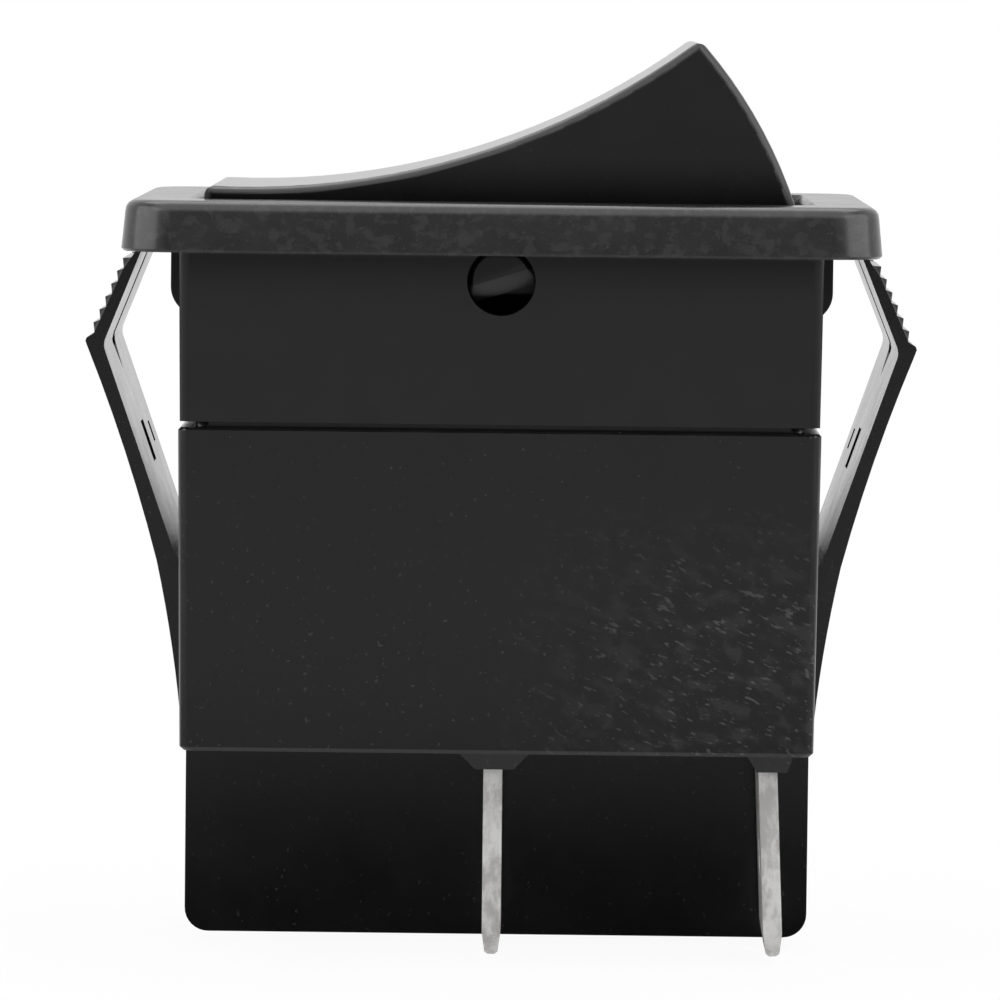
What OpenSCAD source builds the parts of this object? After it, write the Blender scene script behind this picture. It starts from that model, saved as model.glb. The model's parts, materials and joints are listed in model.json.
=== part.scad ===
// Double-pole snap-in panel rocker switch.
// The origin is the centre of the bezel's underside, where the switch seats on its panel.
// +X runs along the switch to the load terminals, +Y across it, +Z out of the panel to the user.
// The switch is drawn switched on: the left end of the rocker is down and its right end is up.

/* [Bezel] */
// Length of the bezel flange, over its ends
bezel_len = 33; // [32:0.1:34.5]
// Depth of the bezel flange, over its sides
bezel_dep = 25.4; // [24.6:0.1:27]
// Thickness of the bezel flange
bezel_t = 2.24; // [1.8:0.02:2.8]
// Plan radius of the bezel's corners
bezel_corner_r = 2.3; // [1.4:0.1:3]
// Radius that rounds the bezel's top edge
bezel_edge_r = 0.5; // [0.3:0.05:0.7]
// Lean of the bezel's rim on each side, from its foot to its top
bezel_lean = 0.16; // [0.05:0.01:0.25]
// Width of the bevel round the rocker's window at its two ends
window_bevel = 0.35; // [0.2:0.05:0.5]

/* [Body] */
// Length of the body behind the panel
body_len = 28; // [27.6:0.1:28.6]
// Depth of the body behind the panel
body_dep = 21.4; // [21.2:0.1:22]
// Radius of the body's upright corners
body_corner_r = 0.45; // [0.25:0.05:0.6]
// Draft of the body's walls, in degrees
body_draft = 0.65; // [0.1:0.05:0.8]
// Height of the frame's skirt below the bezel
skirt_h = 7.39; // [7:0.01:8]
// Shadow gap between the skirt and the base
shadow_gap = 0.26; // [0.15:0.01:0.4]
// Height of the base, from its rim to its underside
base_h = 14.12; // [13.6:0.02:15]
// Thickness of the frame's end walls
end_wall = 0.7; // [0.65:0.05:0.9]
// Thickness of the base's walls
base_wall = 1.3; // [1.1:0.05:1.4]
// Thickness of the base's floor
floor_t = 1.9; // [1.6:0.1:2.2]
// Height of the spigot that locates the base in the skirt
spigot_h = 1.6; // [1.2:0.05:1.7]
// Wall of that spigot
spigot_t = 0.7; // [0.6:0.05:0.8]
// Clearance between the spigot and the skirt
spigot_clear = 0.05; // [0.03:0.01:0.08]
// How far the locating pads stand out of the skirt's end walls
pad_out = 0.55; // [0.3:0.05:0.7]
// Width of the locating pads
pad_w = 12; // [8:0.5:14]
// Height of the straight part of the locating pads
pad_h = 1.7; // [1.2:0.1:2.4]
// Height over which a pad's foot curves in to the wall
pad_curve = 1.1; // [0.8:0.1:1.8]

/* [Barrier] */
// Thickness of the barrier between the poles
barrier_t = 1.2; // [1:0.1:1.4]
// Length of the barrier blade below the base
barrier_len = 27.9; // [26:0.1:28]
// Drop of the barrier below the base
barrier_drop = 9.06; // [8.6:0.02:10]
// Radius of the barrier's lower corners
barrier_r = 1.05; // [0.3:0.05:1.2]

/* [Snap wings] */
// Width of the snap wings
wing_w = 15; // [12:0.5:17]
// Reach of the wing elbow from the middle of the switch
wing_reach = 18.2; // [17.8:0.05:18.6]
// Depth of the elbow's corner below the bezel
elbow_z = 3.93; // [3.7:0.01:4.2]
// Thickness of the wing's lower arm below the elbow, measured along X
arm_low_t = 0.7; // [0.6:0.01:0.9]
// Lean of the lower arm, in degrees
arm_low_lean = 18.4; // [17.8:0.1:19.2]
// How far the outer face of the lower arm bows in
arm_bow = 0.16; // [0.06:0.01:0.2]
// Clearance between the wing tips and the bezel
wing_tip_gap = 0.15; // [0.1:0.01:0.3]
// Number of teeth on a wing
teeth = 6; // [3:1:6]
// Drop from one tooth to the next
tooth_pitch = 0.566; // [0.53:0.001:0.57]
// How far a tooth stands out of the arm
tooth_out = 0.3; // [0.27:0.01:0.34]
// How far the teeth stop short of the wing's edges
tooth_setback = 0.45; // [0.2:0.05:0.8]
// Width of the slit that parts a wing's two fingers
finger_slit = 1.4; // [0.5:0.05:1.6]

/* [Rocker] */
// Depth of the rocker across the switch
rocker_dep = 17.2; // [16.6:0.1:17.4]
// Gap between the rocker's sides and the window
rocker_side_gap = 0.35; // [0.3:0.05:0.5]
// Gap between the rocker's ends and the window
rocker_end_gap = 0.1; // [0.08:0.01:0.3]
// Height of the rocker's top above its pivot, at the middle
rocker_mid_h = 5.62; // [5.2:0.02:6]
// Radius of the rocker's hollow top
rocker_top_r = 33; // [28:0.5:40]
// Radius of the rocker's bowed ends
rocker_end_r = 20.7; // [18:0.1:24]
// Depth of the ends' widest point below the pivot
rocker_end_drop = 1.2; // [0.8:0.1:1.6]
// Radius of the rocker's two crests
rocker_crest_r = 0.46; // [0.42:0.01:0.6]
// Radius that rounds the rocker's side edges
rocker_edge_r = 0.38; // [0.15:0.01:0.4]
// Wall of the rocker shell
rocker_wall = 1.4; // [1.2:0.05:1.6]
// Tilt of the rocker to each side of level, in degrees
rocker_tilt = 17; // [14:0.5:17]
// Depth of the rocker's pivot below the bezel's underside
pivot_z = 1.17; // [1.1:0.01:1.5]
// Radius of the pivot holes in the skirt
pivot_hole_r = 1.49; // [1.4:0.01:1.6]
// Running clearance of the pivots, the plungers and the contact arms
run_clear = 0.05; // [0.02:0.01:0.08]
// How far the pivots stop short of the skirt's outside
pivot_recess = 0.5; // [0.3:0.05:0.8]

/* [Plungers] */
// Distance of each pole from the barrier's middle
pole_y = 5.3; // [5.2:0.05:5.4]
// Radius of the plungers
plunger_r = 1.5; // [1.4:0.05:1.6]
// Radius of a plunger's round nose
nose_r = 0.9; // [0.8:0.05:1]
// Wall of the rocker's plunger barrels
barrel_wall = 0.85; // [0.7:0.05:1]
// Depth of the barrels' mouths below the rocker's pivot
barrel_drop = 7; // [6.6:0.1:7.2]
// Wire diameter of the plunger springs
spring_wire = 0.36; // [0.3:0.02:0.4]
// Mean radius of the plunger springs
spring_r = 1.15; // [1.1:0.05:1.2]
// Turns of a plunger spring
spring_turns = 8; // [6:1:9]

/* [Contacts] */
// Depth of the contact arm's saddle below the rocker's pivot
saddle_drop = 9.5; // [9.4:0.05:9.8]
// Radius of the saddle that the plunger's nose runs in
saddle_r = 4.6; // [4.6:0.05:4.8]
// Thickness of the contact arm
arm_t = 0.8; // [0.7:0.05:0.9]
// Width of the contact arm
arm_w = 4.2; // [3.8:0.1:4.3]
// Tilt of the contact arm to each side of level, in degrees
arm_tilt = 9; // [8:0.5:9.5]
// Reach of the arm's contact from its pivot
contact_x = 8.2; // [7.6:0.1:8.5]
// Radius of the contacts
contact_r = 1.5; // [1.2:0.1:1.6]
// Height of a contact's head
contact_h = 0.7; // [0.6:0.05:0.8]
// Radius of a contact's domed face
contact_dome_r = 5; // [4:0.5:8]
// Clearance between the closed contacts
contact_gap = 0.04; // [0.02:0.01:0.08]

/* [Terminals] */
// Thickness of the terminal blades
blade_t = 0.82; // [0.78:0.01:0.86]
// Width of the terminal blades
blade_w = 6.35; // [6.2:0.05:6.4]
// Drop of the blades below the base
blade_drop = 9.1; // [8:0.02:9.4]
// Offset of the common blade from the middle of the switch
common_x = -0.15; // [-0.2:0.01:-0.1]
// Place of the load blade along the switch
load_x = 11.9; // [11.8:0.02:11.95]
// Outward lean of the load blade below its boss, in degrees
load_lean = 2.4; // [0:0.1:3]
// Radius of the hole in each blade
blade_hole_r = 0.9; // [0.7:0.05:1]
// Height of that hole above the blade's tip
blade_hole_up = 4.1; // [3.6:0.1:4.5]
// Drop of the bosses under the base
boss_drop = 0.8; // [0.5:0.05:1.1]

/* [Hidden] */
$fn = 64;
eps = 0.01;                 // overlap of joined shapes and overshoot of cuts
slice = 0.01;               // thickness of the outlines that a hull joins

// Heights of the body
skirt_foot = -skirt_h;
rim_z = skirt_foot - shadow_gap;
base_foot = rim_z - base_h;
floor_z = base_foot + floor_t;
shoulder_z = rim_z + spigot_h;
shoulder_step = 0.9;

// Openings of the frame
window_len = body_len - 2 * end_wall;
window_dep = rocker_dep + 2 * rocker_side_gap;
window_r = 0.6;
socket_len = window_len;
socket_dep = window_dep + 2 * shoulder_step;
spigot_len = socket_len - 2 * spigot_clear;
spigot_dep = socket_dep - 2 * spigot_clear;

base_len = body_len - 0.04;
base_dep = body_dep - 0.2;
rim_bevel = 0.12;
foot_bevel = 0.18;

// Cavities of the base, one for each pole
cavity_len = min(body_len - 2 * base_wall, spigot_len - 2 * spigot_t);
cavity_y = min(body_dep / 2 - base_wall, spigot_dep / 2 - spigot_t);

// Rocker
rocker_reach = window_len / 2 - rocker_end_gap;
rocker_half = rocker_dep / 2;
rocker_foot = -0.5;
pivot_r = pivot_hole_r - run_clear;
pivot_end = body_dep / 2 - pivot_recess;
bore_r = plunger_r + run_clear;
barrel_r = bore_r + barrel_wall;
bore_top = rocker_mid_h - rocker_wall - 1;

// Plunger, measured down from the rocker's pivot
plunger_hold = 1.8;
plunger_bare = 0.6;
plunger_chamfer = 0.4;
stem_h = 1.2;
stem_gap = 0.15;
nose_z = saddle_drop - run_clear - nose_r;
plunger_top = barrel_drop - plunger_hold;
plunger_foot = barrel_drop + plunger_bare;
stem_r = spring_r - spring_wire / 2 - stem_gap;

// Contact arm and its cradle
arm_pivot_z = -pivot_z - saddle_drop - arm_t / 2;
crest_r = 0.9;
saddle_angle = 24;
crest_angle = 30;
arm_end_x = contact_x + contact_r;
arm_tail_x = contact_x + 0.8;
trunnion_r = arm_t / 2;
ear_gap = 0.2;
ear_t = 0.8;
ear_half = 1.6;
ear_rise = 0.8;
cradle_in = arm_w / 2 + ear_gap;
cradle_out = cradle_in + ear_t;
cradle_depth = 2.4;
cradle_top = arm_pivot_z - cradle_depth;
cradle_foot = cradle_top - ear_t;
strip_end = 3.4;
rivet_x = 2;
rivet_r = 0.7;
rivet_head_r = 1.25;
rivet_head_h = 0.4;
rivet_clear = 0.03;

// Contacts: the fixed one stands so that the two domes just clear when the switch is on
shank_r = 0.6;
upset_r = 1;
upset_h = 0.3;
dome_mid = contact_dome_r - arm_t / 2 - contact_h;
fixed_x = contact_x * cos(arm_tilt) - (arm_t / 2 + contact_h) * sin(arm_tilt);
dome_x = contact_x * cos(arm_tilt) + dome_mid * sin(arm_tilt);
dome_z = dome_mid * cos(arm_tilt) - contact_x * sin(arm_tilt);
dome_span = 2 * contact_dome_r + contact_gap;
fixed_top = arm_pivot_z + dome_z - sqrt(dome_span ^ 2 - (dome_x - fixed_x) ^ 2) + contact_dome_r;
shelf_top = fixed_top - contact_h;
shelf_end = fixed_x - contact_r - 0.3;

// Terminals
bend_r = 0.3;
blade_tip = base_foot - blade_drop;
tip_taper = 1.1;
tip_t = blade_t * 0.72;
tip_bevel = 1;
slot_clear = 0.04;
post_half = 2.9;

// Wing outline, on the right of the switch
arm_low_slope = tan(arm_low_lean);
elbow_out = [wing_reach - 0.07, -elbow_z - 0.34];
elbow_in = [elbow_out[0] - arm_low_t, elbow_out[1] + 0.05];
arm_in_slope = 0.4;
tooth_slope = 0.447;
tooth_h = 0.45;
tip_out = [wing_reach - 1.98, -0.41];
valley_start = [wing_reach - 1.636, -0.9];
elbow_tip = [wing_reach - 0.05, -elbow_z];
elbow_side = [wing_reach, -elbow_z - 0.14];
elbow_in_r = 0.8;
slit_end = 1.4;
arm_low_h = 9.4;
knee_z = elbow_out[1] - arm_low_h;
knee_x = elbow_out[0] - arm_low_h * arm_low_slope;
arm_root_t = 0.8;
crotch_z = knee_z + 0.25;
crotch_x = knee_x - arm_root_t;
low_in_slope = (elbow_in[0] - crotch_x) / (elbow_in[1] - crotch_z);
root_z = base_foot + 0.3;
root_x = base_len / 2 - (rim_z - root_z) * tan(body_draft);
root_bend_r = 58.972;
root_mid = crossing([knee_x, knee_z], root_bend_r, [root_x, root_z], root_bend_r);

// ---------- helpers ----------

// Points on an arc about c, from angle a0 to angle a1
function arc(c, r, a0, a1, n) =
    [for (i = [0:n]) c + r * [cos(a0 + (a1 - a0) * i / n), sin(a0 + (a1 - a0) * i / n)]];

function skip_first(points) = [for (i = [1:len(points) - 1]) points[i]];
function angle_of(v) = atan2(v[1], v[0]);

// The right-hand crossing of two circles
function crossing(a, ra, b, rb) =
    let (d = b - a, l = norm(d), u = d / l,
         m = (l ^ 2 + ra ^ 2 - rb ^ 2) / (2 * l), h = sqrt(ra ^ 2 - m ^ 2),
         p = a + m * u + h * [-u[1], u[0]], q = a + m * u - h * [-u[1], u[0]])
    p[0] > q[0] ? p : q;

// A flat outline in XZ, drawn out along Y from y0 to y1
module across(y0, y1) {
    translate([0, y1, 0]) rotate([90, 0, 0]) linear_extrude(y1 - y0) children();
}

// A flat outline in YZ, drawn out along X from x0 to x1
module along(x0, x1) {
    translate([x0, 0, 0]) rotate([90, 0, 90]) linear_extrude(x1 - x0) children();
}

module box(lo, hi) {
    translate(lo) cube(hi - lo);
}

// A rectangle with round corners, centred on the origin
module rounded_rect(len, dep, r) {
    square([len - 2 * r, dep], center = true);
    square([len, dep - 2 * r], center = true);
    for (sx = [-1, 1], sy = [-1, 1])
        translate([sx * (len / 2 - r), sy * (dep / 2 - r)]) circle(r);
}

module plate(len, dep, r, z, t = slice) {
    translate([0, 0, z]) linear_extrude(t) rounded_rect(len, dep, r);
}

// A solid block of the body with draft: it narrows on its way down, and its top and bottom
// edges can be bevelled
module drafted_block(len, dep, z_top, z_foot, top_bevel, foot_bevel) {
    hull() {
        for (s = [[z_top - slice, top_bevel], [z_top - slice - top_bevel, 0],
                  [z_foot + foot_bevel, 0], [z_foot, foot_bevel]])
            let (inset = (z_top - s[0]) * tan(body_draft) + s[1])
            plate(len - 2 * inset, dep - 2 * inset, body_corner_r, s[0]);
    }
}

// Both ends of the switch
module both_ends() {
    children();
    mirror([1, 0, 0]) children();
}

// One pole: side is -1 for the near pole and 1 for the far one
module pole(side) {
    translate([0, side * pole_y, 0]) children();
}

module rocker_pose() {
    translate([0, 0, -pivot_z]) rotate([0, -rocker_tilt, 0]) children();
}

module arm_pose() {
    translate([0, 0, arm_pivot_z]) rotate([0, arm_tilt, 0]) children();
}

// ---------- frame: bezel, window, skirt, pivot holes and locating pads ----------

module bezel_block() {
    lean_r = bezel_corner_r - bezel_lean;
    foot_bevel = 0.12;
    hull() {
        plate(bezel_len - 2 * foot_bevel, bezel_dep - 2 * foot_bevel, bezel_corner_r, 0);
        plate(bezel_len, bezel_dep, bezel_corner_r, foot_bevel);
        for (a = [0:22.5:90])
            plate(bezel_len - 2 * (bezel_lean + bezel_edge_r * (1 - cos(a))),
                  bezel_dep - 2 * (bezel_lean + bezel_edge_r * (1 - cos(a))),
                  lean_r - bezel_edge_r * (1 - cos(a)) * 0.8,
                  bezel_t - slice - bezel_edge_r * (1 - sin(a)));
    }
}

// The window's mouth: a sloped lip at each end and a fine bevel along the sides
module window_mouth() {
    side_bevel = 0.12;
    lip_drop = 0.45;
    hull() {
        plate(window_len + 2 * window_bevel, window_dep + 2 * side_bevel, window_r, bezel_t);
        plate(window_len, window_dep, window_r, bezel_t - lip_drop);
    }
}

// A pad on the end wall, rounded in below, that centres the switch in its cut-out
module locating_pad() {
    end_x = body_len / 2;
    sink = 0.08;
    inset = pad_out + sink;
    curve_r = (pad_curve ^ 2 + inset ^ 2) / (2 * inset);
    foot = arc([end_x + pad_out - curve_r, -pad_h], curve_r, 0, -asin(pad_curve / curve_r), 8);
    across(-pad_w / 2, pad_w / 2)
        polygon(concat([[end_x - end_wall, eps], [end_x + pad_out, eps]], foot,
                       [[end_x - end_wall, -pad_h - pad_curve]]));
}

module frame() color("#303030") difference() {
    union() {
        bezel_block();
        drafted_block(body_len, body_dep, eps, skirt_foot, 0, 0);
        both_ends() locating_pad();
    }
    translate([0, 0, skirt_foot - eps]) linear_extrude(bezel_t + skirt_h + 2 * eps)
        rounded_rect(window_len, window_dep, window_r);
    window_mouth();
    // Rebate that takes the base's spigot
    translate([0, 0, skirt_foot - eps]) linear_extrude(shoulder_z - skirt_foot + eps)
        rounded_rect(socket_len, socket_dep, window_r);
    for (side = [0, 180]) rotate([0, 0, side])
        translate([0, -window_dep / 2 + 0.3, -pivot_z]) rotate([90, 0, 0])
            cylinder(r = pivot_hole_r, h = body_dep / 2 - window_dep / 2 + 0.6);
}

// ---------- base: box, barrier, bosses, posts and snap wings ----------

function valley(i) = i < 0 ? tip_out : valley_start + [tooth_slope, -1] * tooth_pitch * i;
function tooth_tip(i) = valley(i) + [tooth_out - tooth_slope * tooth_pitch, tooth_h];
function inner_x(z) = elbow_in[0] + low_in_slope * (z - elbow_in[1]);

// The lower arm's outer face: a shallow bow from the elbow to the knee
function outer_bow() =
    let (knee = [knee_x, knee_z], chord = knee - elbow_out, l = norm(chord),
         out = [-chord[1], chord[0]] / l, r = l ^ 2 / (8 * arm_bow) + arm_bow / 2,
         c = (elbow_out + knee) / 2 + (r - arm_bow) * out,
         half = asin(l / 2 / r), a = angle_of(-out))
    arc(c, r, a - half, a + half, 6);

// The round of the elbow's inner corner, from the lower leg to the upper one
function inner_elbow() =
    let (low_a = atan(low_in_slope), up_a = atan(arm_in_slope), middle = (up_a - low_a) / 2,
         c = elbow_in - elbow_in_r / cos((low_a + up_a) / 2) * [cos(middle), sin(middle)])
    arc(c, elbow_in_r, -low_a, up_a, 5);

// The arm: two legs that meet at the elbow, and a root that fairs into the end wall
module wing_arm() {
    top_in = elbow_in[0] - arm_in_slope * (elbow_in[1] * -1 - wing_tip_gap);
    wall_x = root_x - 0.4;
    knee_a = asin((knee_z - root_mid[1]) / root_bend_r);
    foot_a = asin((root_z - root_mid[1]) / root_bend_r);
    across(-wing_w / 2, wing_w / 2)
        polygon(concat(
            [[top_in, -wing_tip_gap], [top_in + 0.25, -wing_tip_gap], tip_out, valley(0),
             valley(5), elbow_tip, elbow_side],
            outer_bow(),
            skip_first(arc(root_mid, root_bend_r, 180 - knee_a, 180 - foot_a, 8)),
            [[wall_x, root_z], [wall_x, crotch_z - 0.45],
             [base_len / 2 - 0.15, crotch_z - 0.3], [crotch_x, crotch_z]],
            inner_elbow()));
}

// Ratchet teeth, each with a sloped shelf above and a steep flank below
module wing_teeth() {
    half = wing_w / 2 - tooth_setback;
    inset = [0.1, 0];
    across(-half, half) for (i = [0:teeth - 1])
        polygon([valley(i - 1) - inset, valley(i - 1), tooth_tip(i), valley(i),
                 valley(i) - inset]);
}

// A shallow pocket in the inner face of the lower arm
module wing_pocket(z_top, z_foot, y, w) {
    deep = 0.45;
    across(y - w / 2, y + w / 2)
        polygon([[inner_x(z_top) - 0.2, z_top], [inner_x(z_top) + deep, z_top],
                 [inner_x(z_foot) + deep, z_foot], [inner_x(z_foot) - 0.2, z_foot]]);
}

module wing() difference() {
    pocket_top = elbow_in[1] - 3.75;
    union() {
        wing_arm();
        wing_teeth();
    }
    // Slit between the two fingers, and its pointed run-out below the elbow
    box([elbow_in[0] - 3, -finger_slit / 2, elbow_in[1]], [wing_reach + 1, finger_slit / 2, 1]);
    along(elbow_in[0] - 3, wing_reach + 1)
        polygon([[-finger_slit * 0.8, elbow_in[1]], [finger_slit * 0.8, elbow_in[1]],
                 [0, elbow_in[1] - slit_end]]);
    wing_pocket(pocket_top, pocket_top - 1.8, 0.6, 1.9);
    wing_pocket(pocket_top - 0.25, pocket_top - 1.15, 4.6, 1);
}

// A tapered boss under the base round a terminal's slot
module boss(x, in_top, in_foot, out_top, out_foot) {
    side_top = blade_w / 2 + 0.9;
    side_foot = blade_w / 2 + 0.5;
    intersection() {
        across(-side_top, side_top)
            polygon([[x - in_top, base_foot + eps], [x + out_top, base_foot + eps],
                     [x + out_foot, base_foot - boss_drop], [x - in_foot, base_foot - boss_drop]]);
        along(x - in_top, x + out_top)
            polygon([[-side_top, base_foot + eps], [side_top, base_foot + eps],
                     [side_foot, base_foot - boss_drop], [-side_foot, base_foot - boss_drop]]);
    }
}

// Posts on the floor that carry the cradle, the load shelf and the arm's idle end
module posts() {
    stop_x = arm_tail_x * cos(arm_tilt) + 0.2;
    stop_top = arm_pivot_z - arm_tail_x * sin(arm_tilt) - arm_t / 2 - 0.1;
    box([common_x - blade_t / 2 - 1.2, -post_half, floor_z - eps],
        [strip_end, post_half, cradle_foot - blade_t]);
    box([shelf_end, -post_half, floor_z - eps],
        [cavity_len / 2 + eps, post_half, shelf_top - blade_t]);
    box([-cavity_len / 2 - eps, -1.9, floor_z - eps], [1.2 - stop_x, 1.9, stop_top]);
}

module terminal_slot(x) {
    box([x - blade_t / 2 - slot_clear, -blade_w / 2 - slot_clear, base_foot - boss_drop - 1],
        [x + blade_t / 2 + slot_clear, blade_w / 2 + slot_clear, shelf_top - bend_r]);
}

// Sockets in the posts for the closing heads of the rivets above them
module head_pocket(x, z, r) {
    translate([x, 0, z - 0.7]) cylinder(r = r + 0.2, h = 0.8);
}

module base() color("#2e2e2e") {
    cavity_r = 0.5;
    difference() {
        union() {
            drafted_block(base_len, base_dep, rim_z, base_foot, rim_bevel, foot_bevel);
            translate([0, 0, rim_z - 1]) linear_extrude(spigot_h + 1)
                rounded_rect(spigot_len, spigot_dep, window_r);
            across(-barrier_t / 2, barrier_t / 2) hull() {
                for (s = [-1, 1]) translate([s * (barrier_len / 2 - barrier_r), 0]) {
                    translate([0, base_foot - barrier_drop + barrier_r]) circle(barrier_r, $fn = 32);
                    translate([0, base_foot - barrier_r / 2]) square(2 * barrier_r, center = true);
                }
            }
            both_ends() wing();
            for (side = [-1, 1]) pole(side) {
                boss(common_x, 1.55, 0.78, 1.65, 0.91);
                boss(load_x, 0.99, 0.5, 1.09, 0.82);
            }
        }
        for (side = [0, 1]) mirror([0, side, 0])
            translate([0, (barrier_t / 2 + cavity_y) / 2, floor_z])
                linear_extrude(shoulder_z - floor_z + eps)
                    rounded_rect(cavity_len, cavity_y - barrier_t / 2, cavity_r);
        // The barrier stops below the rocker's swing
        box([-cavity_len / 2, -cavity_y + cavity_r, rim_z - 0.6],
            [cavity_len / 2, cavity_y - cavity_r, shoulder_z + eps]);
        for (side = [-1, 1], x = [common_x, load_x]) pole(side) terminal_slot(x);
    }
    for (side = [-1, 1]) pole(side) difference() {
        posts();
        terminal_slot(common_x);
        terminal_slot(load_x);
        head_pocket(rivet_x, cradle_foot - blade_t, rivet_head_r);
        head_pocket(fixed_x, shelf_top - blade_t, upset_r);
    }
}

// ---------- rocker: hollow-topped shell on two pivots, with two plunger barrels ----------

end_mid = [rocker_reach - rocker_end_r, -rocker_end_drop];
top_mid = [0, rocker_mid_h + rocker_top_r];
crest_mid = crossing(top_mid, rocker_top_r + rocker_crest_r,
                     end_mid, rocker_end_r - rocker_crest_r);

// Side outline of the rocker, set in by d: two bowed ends and a hollow top
module rocker_side(d) {
    difference() {
        intersection() {
            translate(end_mid) circle(rocker_end_r - d, $fn = 160);
            mirror([1, 0]) translate(end_mid) circle(rocker_end_r - d, $fn = 160);
            translate([-rocker_reach, rocker_foot - d])
                square([2 * rocker_reach, 2 * rocker_mid_h]);
        }
        translate(top_mid) circle(rocker_top_r + d, $fn = 256);
    }
}

// The sharp corner above a crest, cut back to the crest's radius
module crest_trim() {
    to_top = (top_mid - crest_mid) / norm(top_mid - crest_mid);
    to_end = (crest_mid - end_mid) / norm(crest_mid - end_mid);
    translate(crest_mid) difference() {
        polygon([[0, 0], 3 * rocker_crest_r * to_top, 3 * rocker_crest_r * (to_top + to_end),
                 3 * rocker_crest_r * to_end]);
        circle(rocker_crest_r, $fn = 48);
    }
}

// A disc on an axis along Y that rounds the side edges of the rocker's bowed end
module end_disc() {
    r = rocker_end_r;
    e = rocker_edge_r;
    translate([end_mid[0], 0, end_mid[1]]) rotate([90, 0, 0]) rotate_extrude($fn = 160) {
        translate([0, -rocker_half]) square([r - e, rocker_dep]);
        translate([0, -rocker_half + e]) square([r, rocker_dep - 2 * e]);
        for (s = [-1, 1]) translate([r - e, s * (rocker_half - e)]) circle(e, $fn = 24);
    }
}

// A ring on an axis along Y that rounds the side edges of the rocker's hollow top
module top_ring() {
    r = rocker_top_r;
    e = rocker_edge_r;
    translate([0, 0, top_mid[1]]) rotate([90, 0, 0]) rotate_extrude($fn = 256)
        for (s = [0, 1]) mirror([0, s]) difference() {
            translate([r - 1, rocker_half - e]) square([1 + e, e + 1]);
            translate([r + e, rocker_half - e]) circle(e, $fn = 24);
            translate([r - 2, rocker_half - 2 * e]) square([2, e]);
        }
}

module rocker_skin() {
    difference() {
        intersection() {
            across(-rocker_half, rocker_half) difference() {
                rocker_side(0);
                crest_trim();
                mirror([1, 0]) crest_trim();
            }
            end_disc();
            mirror([1, 0, 0]) end_disc();
        }
        top_ring();
    }
}

// A pivot: a short stub with a flat underside and a ramp that lets it snap into its hole
module rocker_pivot() {
    flat_z = -0.55;
    ramp_top = 0.2;
    ramp_in = 0.35;
    lead_in = 0.2;
    difference() {
        union() {
            translate([0, -rocker_half + 0.1, 0]) rotate([90, 0, 0])
                cylinder(r = pivot_r, h = pivot_end - lead_in - rocker_half + 0.1);
            translate([0, -pivot_end + lead_in, 0]) rotate([90, 0, 0])
                cylinder(r1 = pivot_r, r2 = pivot_r - lead_in, h = lead_in);
        }
        box([-pivot_r - 1, -pivot_end - 1, -pivot_r - 1], [pivot_r + 1, -rocker_half, flat_z]);
        along(-pivot_r - 1, pivot_r + 1)
            polygon([[-pivot_end - eps, ramp_top], [-pivot_end - eps, flat_z - eps],
                     [-pivot_end + ramp_in, flat_z - eps]]);
    }
}

// The thicker wall round a pivot, recessed under the stub so that the wall can spring in
module rocker_boss() {
    boss_r = 2.8;
    translate([0, -rocker_half + rocker_wall, 0]) rotate([90, 0, 0])
        cylinder(r = boss_r, h = rocker_wall);
}

module pivot_recess_cut() {
    deep = rocker_half - pole_y - bore_r - 0.4;
    wide = pivot_r + 0.15;
    box([-wide, -rocker_half - 1, -4], [wide, -rocker_half + deep, -0.5]);
}

module rocker() color("#262626") rocker_pose() {
    rib_t = 1.2;
    roof_z = rocker_mid_h - rocker_wall;
    difference() {
        union() {
            difference() {
                rocker_skin();
                across(-rocker_half + rocker_wall, rocker_half - rocker_wall)
                    rocker_side(rocker_wall);
            }
            for (side = [0, 180]) rotate([0, 0, side]) {
                rocker_pivot();
                rocker_boss();
            }
            for (side = [-1, 1]) pole(side)
                translate([0, 0, -barrel_drop]) cylinder(r = barrel_r, h = barrel_drop + roof_z + 0.3);
            box([-rib_t / 2, -rocker_half + 0.5, -2.5], [rib_t / 2, rocker_half - 0.5, roof_z + 0.3]);
        }
        for (side = [-1, 1]) pole(side)
            translate([0, 0, -barrel_drop - 1]) cylinder(r = bore_r, h = barrel_drop + 1 + bore_top);
        for (side = [0, 180]) rotate([0, 0, side]) pivot_recess_cut();
    }
}

// ---------- plunger and its spring, in one pole of the rocker ----------

module plunger(side) color("#d8d4c8") rocker_pose() pole(side) {
    translate([0, 0, -nose_z]) sphere(r = nose_r);
    translate([0, 0, -nose_z]) cylinder(r = nose_r, h = nose_z - plunger_top);
    translate([0, 0, -plunger_foot + plunger_chamfer])
        cylinder(r = plunger_r, h = plunger_foot - plunger_chamfer - plunger_top);
    translate([0, 0, -plunger_foot])
        cylinder(r1 = nose_r, r2 = plunger_r, h = plunger_chamfer + eps);
    translate([0, 0, -plunger_top - eps]) cylinder(r = stem_r, h = stem_h);
}

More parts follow.
